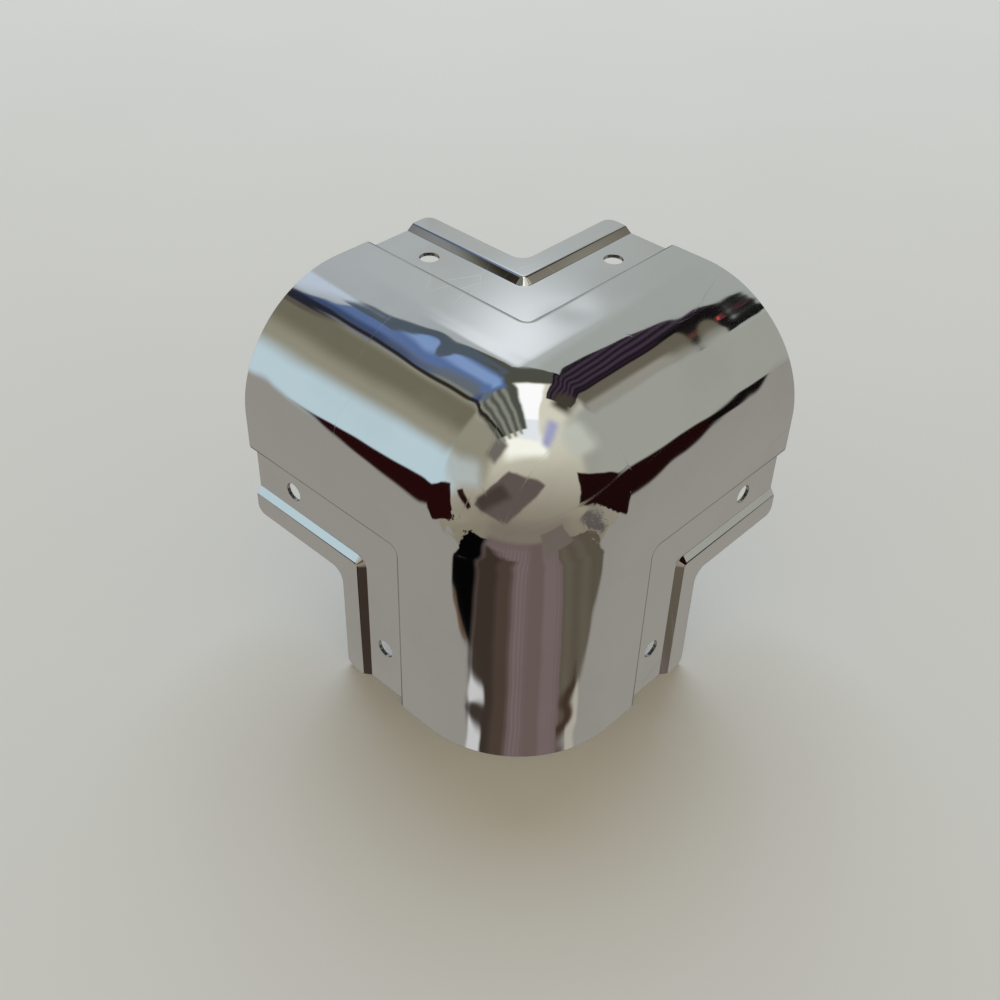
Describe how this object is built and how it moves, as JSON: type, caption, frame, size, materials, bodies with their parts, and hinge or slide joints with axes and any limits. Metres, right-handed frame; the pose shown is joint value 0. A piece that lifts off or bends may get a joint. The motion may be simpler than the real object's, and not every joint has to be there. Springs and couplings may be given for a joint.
{
  "type": "corner protector",
  "caption": "Chromed sheet-metal cap for a box corner, with rounded edges, a ball corner and joggled, lipped flanges with screw holes on each face.",
  "frame": {"origin": "centre of the ball corner, where the middle lines of the three rounded edges meet", "axes": "+Z out of the top face, +X out of the side face, -Y out of the front face; the arms run towards -X, +Y and -Z, over the box"},
  "size_m": [0.1, 0.1, 0.1],
  "materials": {
    "chrome": "mirror-bright chrome plating on pressed steel, with faint press ripples and hairline scratches"
  },
  "bodies": {
    "root": {"corner_cap": "chrome"}
  },
  "joints": []
}
